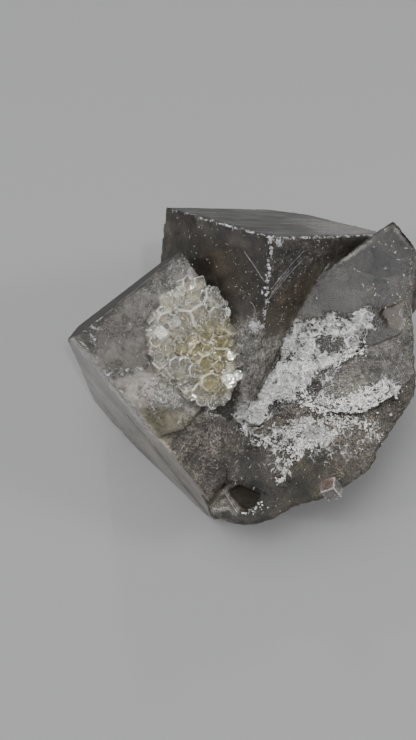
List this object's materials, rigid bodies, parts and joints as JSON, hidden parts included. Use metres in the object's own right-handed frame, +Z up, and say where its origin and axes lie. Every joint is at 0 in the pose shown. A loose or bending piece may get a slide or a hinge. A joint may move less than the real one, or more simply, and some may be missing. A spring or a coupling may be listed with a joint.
{
  "type": "fluorite specimen",
  "caption": "Natural cluster of smoky grey intergrown fluorite cubes, one face crusted with small clear yellowish crystals, resting on its flat broken face.",
  "frame": {"origin": "centre of the bounding box in plan, on the surface that the specimen rests on", "axes": "+Z up from the broken face it rests on, -Y towards the side that the crystal faces look at, +X to the right of that view"},
  "size_m": [0.0495, 0.0507, 0.034],
  "materials": {
    "smoky_fluorite": "glassy crystal faces, rough where broken",
    "clear_druse": "clear sparkling crystal grains"
  },
  "bodies": {
    "root": {"fluorite_cluster": "smoky_fluorite", "druse_crust": "clear_druse"}
  },
  "joints": []
}
